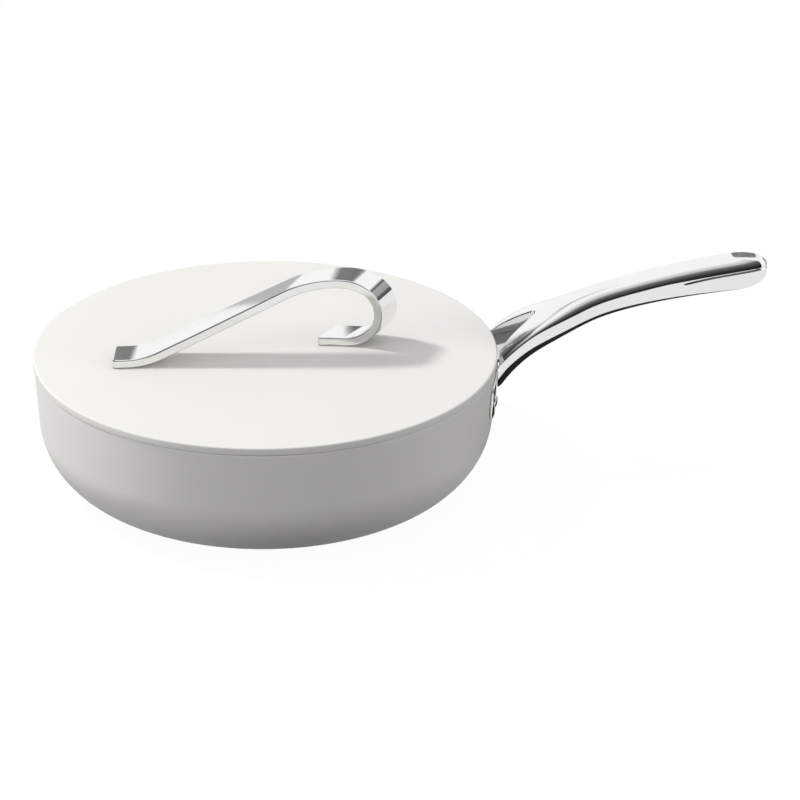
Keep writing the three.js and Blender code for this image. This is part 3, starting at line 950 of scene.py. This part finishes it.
def ceramic_coat():
    """Warm white satin coat: faint clouds of tone, fine spray grain and a soft orange peel."""
    material, wire, spot, shader = finish("warm_white_ceramic_coat")
    cloud = noise(wire, spot, scale=9.0, detail=2.0)
    speck = noise(wire, spot, scale=900.0, detail=2.0)
    peel = noise(wire, spot, scale=420.0, detail=2.0)
    grain = cloud * 0.55 + speck * 0.45
    feed(
        wire,
        shader,
        Base_Color=tone(wire, grain, *COAT_TONES),
        Roughness=0.42 + cloud * 0.1 + speck * 0.04,
        Normal=relief(wire, peel, strength=0.08, distance=0.0004),
        Metallic=0.0,
        Specular_IOR_Level=COAT_SHEEN,
    )
    return material


def inside_eye(wire, spot):
    """1 on the walls of the handle's hanging slot, which the buffing wheel does not reach, else 0."""
    middle = HANDLE_ROOT[0] + EYE_STATIONS[1]
    reach = (EYE_STATIONS[2] - EYE_STATIONS[0]) / 2 + EYE_MARGIN

    def within(axis, centre, span):
        way = wire.add("ShaderNodeSeparateXYZ", None, {"Vector": spot}, out=axis)
        return wire.add("ShaderNodeMath", {"operation": "COMPARE"}, {0: way, 1: centre * MM, 2: span * MM})

    return within("X", middle, reach) * within("Y", 0, EYE_HALF * EYE_SLACK)


def lower_edge_shade(wire):
    """1 along a flat bar's rounded edges that look down, where painted shade darkens the colour, else 0."""
    edge = wire.add("ShaderNodeNewGeometry", out="Pointiness")
    facing = wire.add("ShaderNodeTexCoord", out="Normal")
    height = wire.add("ShaderNodeSeparateXYZ", None, {"Vector": facing}, out="Z")
    sharp = tone(wire, (edge - EDGE_POINTINESS) / EDGE_FADE_SPAN, *BLACK_TO_WHITE)
    return sharp * tone(wire, (DOWN_START - height) / DOWN_SPAN, *BLACK_TO_WHITE)


def mirror_steel(name, dull=None, painted_shade=None):
    """Polished steel: mirror bright, with faint buffing lines along the piece and soft smears.

    A dull mask roughens the polish, and a mask of painted shade darkens its colour.
    """
    material, wire, spot, shader = finish(name)
    lines = noise(wire, stretched(wire, spot, BUFFING_STRETCH), scale=60.0, detail=3.0, roughness=0.6)
    smear = noise(wire, spot, scale=38.0, detail=3.0)
    polish = tone(wire, smear, *POLISH_TONES)
    # painted shade: the colour turns grey on the masked edges
    if painted_shade:
        both = {0: painted_shade(wire), 6: polish, 7: PAINTED_SHADE_TONE}
        polish = wire.add("ShaderNodeMix", {"data_type": "RGBA"}, both, out=2)
    unbuffed = dull(wire, spot) * EYE_DULLNESS if dull else 0
    feed(
        wire,
        shader,
        Base_Color=polish,
        Roughness=0.035 + smear * 0.03 + lines * 0.03 + unbuffed,
        Normal=relief(wire, lines, strength=0.03, distance=0.0002),
        Metallic=1.0,
    )
    return material


def satin_steel(name, tones, dullness):
    """Turned or pressed small parts: rings of tool marks about their own middle and a soft bloom."""
    material, wire, spot, shader = finish(name)
    marks = noise(wire, stretched(wire, spot, TOOL_MARK_STRETCH), scale=1400.0, detail=2.0)
    bloom = noise(wire, spot, scale=240.0, detail=2.0)
    feed(
        wire,
        shader,
        Base_Color=tone(wire, bloom, *tones),
        Roughness=dullness + marks * 0.12,
        Normal=relief(wire, marks, strength=0.1, distance=0.0001),
        Metallic=1.0,
    )
    return material


def turned_base_steel():
    """Disc under the pan: fine turning rings about the axis."""
    material, wire, spot, shader = finish("turned_base_steel")
    length = wire.add("ShaderNodeVectorMath", {"operation": "LENGTH"}, {0: spot}, out="Value")
    rings = wire.add("ShaderNodeCombineXYZ", None, {"X": length})
    fine = noise(wire, rings, scale=2600.0, detail=3.0)
    coarse = noise(wire, rings, scale=300.0, detail=2.0)
    bloom = noise(wire, spot, scale=30.0, detail=2.0)
    feed(
        wire,
        shader,
        Base_Color=tone(wire, bloom * 0.5 + coarse * 0.5, *BASE_TONES),
        Roughness=0.22 + fine * 0.2,
        Normal=relief(wire, fine, strength=0.15, distance=0.0001),
        Metallic=1.0,
    )
    return material


def grey_seal():
    """Matt silicone of the washers: soft clouds under a film of dust."""
    material, wire, spot, shader = finish("grey_seal")
    dust = noise(wire, spot, scale=700.0, detail=3.0)
    cloud = noise(wire, spot, scale=120.0, detail=2.0)
    feed(
        wire,
        shader,
        Base_Color=tone(wire, cloud * 0.6 + dust * 0.4, *SEAL_TONES),
        Roughness=0.55 + dust * 0.2,
        Normal=relief(wire, dust, strength=0.2, distance=0.0001),
    )
    return material


# Assembly: each piece stands for its solid and rides on its body


def carry(piece, node, body, material):
    """Names a piece after its solid, gives it its finish and lets it ride on its body."""
    piece.name = piece.data.name = node + "_finish"
    piece.data.materials.clear()
    piece.data.materials.append(material)
    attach(piece, body)
    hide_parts(node)


def copy_of(piece):
    double = piece.copy()
    double.data = piece.data.copy()
    bpy.context.collection.objects.link(double)
    return double


coat = ceramic_coat()
shell = pan_shell()
smooth(shell)
carry(shell, "pan_body", "pan", coat)

disc = base_disc()
smooth(disc, 30)
carry(disc, "induction_plate", "pan", turned_base_steel())

cover = lid_cover()
smooth(cover)
carry(cover, "lid_plate", "lid", coat)

handle = long_handle()
handle_polish = mirror_steel("polished_handle_steel", dull=inside_eye)
carry(handle, "long_handle", "pan", handle_polish)

strap = lid_strap()
# The strap's downward edges get painted shade
strap_polish = mirror_steel("polished_strap_steel", painted_shade=lower_edge_shade)
carry(strap, "lid_handle", "lid", strap_polish)

rivet_finish = satin_steel("satin_rivet_steel", RIVET_TONES, RIVET_DULLNESS)
first_rivet = rivet()
smooth(first_rivet)
for node, side in RIVET_SIDES.items():
    one = copy_of(first_rivet)
    place(one, rivet_place(side))
    carry(one, node, "pan", rivet_finish)
bpy.data.objects.remove(first_rivet)

screw_finish = satin_steel("plain_screw_steel", SCREW_TONES, SCREW_DULLNESS)
seal_finish = grey_seal()
first_screw = lid_screw()
smooth(first_screw)
first_washer = lid_washer()
smooth(first_washer)
for foot, spot in screw_places().items():
    for model, kind, slot, look in (
        (first_screw, "screw", "screw_steel", screw_finish),
        (first_washer, "washer", "seal", seal_finish),
    ):
        one = copy_of(model)
        place(one, Matrix.Translation(spot))
        carry(one, f"lid_{kind}_{foot}", "lid", look)
bpy.data.objects.remove(first_screw)
bpy.data.objects.remove(first_washer)


# Studio, in metres: floor, world, cards, lamps and the camera of the photograph's view
# Tones of a card are pairs: a share of the way along it, and the brightness there
WORLD_STRENGTH = 0.51
FLOOR_SIZE = 12
FLOOR_DROP = 0.3 * MM
FLOOR_TONE = (0.04, 0.04, 0.04)
FLOOR_GRAIN = 0.02
FLOOR_LIFT = 0.96
FLOOR_SHEEN = 0.82
FLAG_HEIGHT = 6.0
FLAG_STEPS = 64
FRONT_FLAG = (150, 345), 1.6
FRONT_FADE = [
    (0.0, 0.02), (0.05, 0.02), (0.09, 0.05), (0.13, 0.075), (0.17, 0.11), (0.22, 0.14),
    (0.265, 0.22), (0.32, 0.44), (0.4, 0.6), (0.52, 0.71), (0.75, 0.8), (0.9, 0.92), (1.0, 1.0),
]
LEFT_FLAG = (115, 235), 1.4
LEFT_FADE = [
    (0.0, 0.03), (0.39, 0.035), (0.52, 0.06), (0.6, 0.2), (0.66, 0.45), (0.735, 0.8), (0.83, 0.95),
    (1.0, 1.0),
]
LEFT_EDGE = 0.362, 1.269
EDGE_FADE = [
    (0.0, 0.02), (0.18, 0.1), (0.37, 0.135), (0.46, 0.14), (0.59, 0.19), (0.69, 0.27), (0.78, 0.4),
    (0.865, 0.55), (0.94, 0.75), (1.0, 1.0),
]
LEFT_VEIL = "Y", -1.147, 0.2, [(0.0, 0.0), (1.0, 1.0)]
# Table card: a dark sheet on the floor under the handle, painted shade that the handle's underside mirrors in
# place of the floor's shadow there
TABLE_CARD = (0.184, 0.12), (0.2226, 0.0374, 0.0015)
TABLE_SPAN = 0.11, 0.33
TABLE_TONES = [(0.0, 0.01), (1.0, 0.03)]
BACK_CARDS = [
    ("heel_back_card", (0.0505, 0.07), (-0.086, 0.22, 0.211), 18.3, -0.11, -0.062,
     [(0.08, 1.0), (0.22, 0.7), (0.33, 0.26), (0.43, 0.22), (1.0, 0.2)]),
    ("crown_back_card", (0.0645, 0.036), (0.074, 0.065, 0.18), 7.0, 0.042, 0.106,
     [(0.0, 1.0), (0.1, 0.45), (0.16, 0.22), (0.6, 0.2), (0.68, 0.19), (0.8, 0.25), (0.91, 0.5), (1.0, 1.0)]),
    ("toe_back_card", (0.024, 0.05), (0.078, 0.22, 0.165), 0.0, 0.066, 0.09,
     [(0.0, 1.0), (0.17, 0.4), (0.3, 0.2), (0.45, 0.12), (1.0, 0.12)]),
    ("lower_back_card", (0.17, 0.06), (-0.042, 0.22, 0.123), 15.6, -0.13, 0.04,
     [(0.0, 0.6), (0.4, 0.5), (0.8, 0.5), (1.0, 0.6)]),
]
SIDE_CARD = (0.38, 0.36), (0.77, 0.37, 0.18)
SIDE_TONES = [
    (0.0, 0.08), (0.14, 0.09), (0.2, 0.12), (0.28, 0.35), (0.675, 0.42), (0.755, 0.14), (0.83, 0.14),
    (0.92, 0.6), (1.0, 1.0),
]
LAMP_AIM = Vector((0, 0, 0.08))
LAMPS = [
    ("key_box", 164, 51, 2.6, 0.376, 38.8),
    ("left_fill", 200, 12, 2.0, 0.8, 12.3),
    ("right_fill", -20, 16, 2.0, 0.8, 8.2),
]
CAMERA_PLACE = (-0.07595, -1.38541, 0.69322)
CAMERA_LIFT = math.radians(24.99)
CAMERA_SWING = math.radians(6.5)
CAMERA_ROLL = math.radians(0.73)
CAMERA_LENS = 112.5
CAMERA_SENSOR = 36
CAMERA_CLIP = 0.05, 50


def rays(wire, kind):
    """1 for light rays of a kind, else 0."""
    return wire.add("ShaderNodeLightPath", out=f"Is {kind} Ray")


def studio_world():
    """World that is white to the camera, to glossy and to clear surfaces, and dimmer as a lamp."""
    world = bpy.data.worlds.new("studio")
    world.use_nodes = True
    bpy.context.scene.world = world
    wire = Wire(world.node_tree)
    background = world.node_tree.nodes["Background"]
    seen = rays(wire, "Camera")
    for kind in ("Glossy", "Transmission"):
        seen = wire.math("MAXIMUM", seen, rays(wire, kind))
    strength = seen * (1 - WORLD_STRENGTH) + WORLD_STRENGTH
    background.inputs["Color"].default_value = (1, 1, 1, 1)
    world.node_tree.links.new(strength.socket, background.inputs["Strength"])


def pale_floor():
    """Floor that takes the pan's shadow and is otherwise as white as the world behind it."""
    bpy.ops.object.select_all(action="DESELECT")
    bpy.ops.mesh.primitive_plane_add(size=FLOOR_SIZE, location=(0, 0, -FLOOR_DROP))
    floor = bpy.context.object
    floor.name = "pale_floor"
    material, wire, spot, shader = finish("pale_floor")
    grain = noise(wire, spot, scale=60.0, detail=2.0)
    feed(
        wire,
        shader,
        Base_Color=tone(wire, grain, FLOOR_TONE, [tint + FLOOR_GRAIN for tint in FLOOR_TONE]),
        Roughness=0.8,
        Specular_IOR_Level=0.0,
        Emission_Color=(1, 1, 1, 1),
        Emission_Strength=rays(wire, "Camera") * FLOOR_LIFT + rays(wire, "Glossy") * FLOOR_SHEEN,
    )
    floor.data.materials.append(material)


def card(piece, *fades, veil=None):
    """Makes a mesh a studio card that only polished surfaces see: the lightest of its fades along axes.

    A veil is a fade that thins the card out, from clear at 0 to solid at 1.
    """
    material = bpy.data.materials.new(piece.name)
    material.use_nodes = True
    material.node_tree.nodes.clear()
    wire = Wire(material.node_tree)
    spot = wire.add("ShaderNodeTexCoord", out="Object")

    def along(axis, low, high, tones):
        way = wire.add("ShaderNodeSeparateXYZ", None, {"Vector": spot}, out=axis)
        stops = [(share, (tint, tint, tint)) for share, tint in tones]
        return wire.add("ShaderNodeValToRGB", {"stops": stops}, {"Fac": (way - low) / (high - low)})

    level = 0.0
    for fade in fades:
        level = wire.math("MAXIMUM", along(*fade), level)
    surface = wire.add("ShaderNodeEmission", None, {"Color": level})
    if veil:
        clear = wire.add("ShaderNodeBsdfTransparent")
        surface = wire.add("ShaderNodeMixShader", None, {"Fac": along(*veil), 1: clear, 2: surface})
    wire.add("ShaderNodeOutputMaterial", None, {"Surface": surface})
    piece.data.materials.append(material)
    for ray in ("camera", "diffuse", "transmission", "volume_scatter", "shadow"):
        setattr(piece, "visible_" + ray, False)


def curved_card(name, bearings, distance, *fades, veil=None):
    """Tall card curved round the table from one bearing to another."""
    start, end = (math.radians(bearing) for bearing in bearings)
    piece = begin(name, bpy.ops.mesh.primitive_plane_add, size=0.1)
    bpy.ops.mesh.merge(type="CENTER")
    shift(Vector((math.cos(start), math.sin(start), 0)) * distance)
    extrude((0, 0, FLAG_HEIGHT))
    bpy.ops.mesh.select_all(action="SELECT")
    bpy.ops.mesh.spin(steps=FLAG_STEPS, angle=start - end, center=(0, 0, 0), axis=(0, 0, 1))
    close()
    card(piece, *fades, veil=veil)


def flat_card(name, size, middle, tilt, *fades):
    """Flat card: its size, its middle point, the rotation that stands it up and its tones."""
    piece = begin(name, bpy.ops.mesh.primitive_plane_add, size=1)
    grow((size[0], size[1], 1), (0, 0, 0))
    turn(tilt, (0, 0, 0))
    shift(middle)
    close()
    card(piece, *fades)


def studio_cards():
    """Sheets that give the polished strap and handle their dark and grey stripes."""
    curved_card("front_flag", *FRONT_FLAG, ("Z", 0, FLAG_HEIGHT, FRONT_FADE))
    left_fades = ("Z", 0, FLAG_HEIGHT, LEFT_FADE), ("Y", *LEFT_EDGE, EDGE_FADE)
    curved_card("left_flag", *LEFT_FLAG, *left_fades, veil=LEFT_VEIL)
    upright = Matrix.Rotation(math.pi / 2, 3, "X")
    sideways = Matrix.Rotation(math.pi / 2, 3, "Z") @ upright
    slanting = Matrix.Rotation(math.pi / 4, 3, "Z")
    # painted shade: a dark sheet under the handle stands in for the shaded floor in the handle's reflection
    flat_card("table_card", *TABLE_CARD, slanting, ("X", *TABLE_SPAN, TABLE_TONES))
    for name, size, middle, slope, low, high, tones in BACK_CARDS:
        lean = Matrix.Rotation(-math.radians(slope), 3, "Y") @ upright
        flat_card(name, size, middle, lean, ("X", low, high, tones))
    flat_card("side_card", *SIDE_CARD, sideways, ("Z", 0, SIDE_CARD[0][1], SIDE_TONES))


def lamp(name, azimuth, height, distance, size, power):
    """Square soft box that looks at the middle of the pan from a compass and a height angle."""
    azimuth, height = math.radians(azimuth), math.radians(height)
    flat = math.cos(height)
    way = Vector((flat * math.cos(azimuth), flat * math.sin(azimuth), math.sin(height)))
    data = bpy.data.lights.new(name, "AREA")
    data.size = size
    data.energy = power
    box = bpy.data.objects.new(name, data)
    box.location = LAMP_AIM + way * distance
    box.rotation_euler = way.to_track_quat("Z", "Y").to_euler()
    box.visible_glossy = False
    bpy.context.collection.objects.link(box)


def photo_camera():
    """Camera that was fitted to the photograph: it looks down, a little sideways and a little rolled."""
    flat = math.cos(CAMERA_LIFT)
    ahead = Vector((flat * math.sin(CAMERA_SWING), flat * math.cos(CAMERA_SWING), -math.sin(CAMERA_LIFT)))
    right = Vector((math.cos(CAMERA_SWING), -math.sin(CAMERA_SWING), 0))
    up = right.cross(ahead)
    rolled_right = right * math.cos(CAMERA_ROLL) + up * math.sin(CAMERA_ROLL)
    rolled_up = up * math.cos(CAMERA_ROLL) - right * math.sin(CAMERA_ROLL)
    data = bpy.data.cameras.new("photo_camera")
    data.sensor_width = CAMERA_SENSOR
    data.lens = CAMERA_LENS
    data.clip_start, data.clip_end = CAMERA_CLIP
    camera = bpy.data.objects.new("photo_camera", data)
    axes = Matrix((rolled_right, rolled_up, -ahead)).transposed().to_4x4()
    camera.matrix_world = Matrix.Translation(CAMERA_PLACE) @ axes
    bpy.context.collection.objects.link(camera)
    bpy.context.scene.camera = camera


studio_world()
pale_floor()
studio_cards()
for settings in LAMPS:
    lamp(*settings)
photo_camera()
bpy.context.scene.view_settings.view_transform = "Standard"
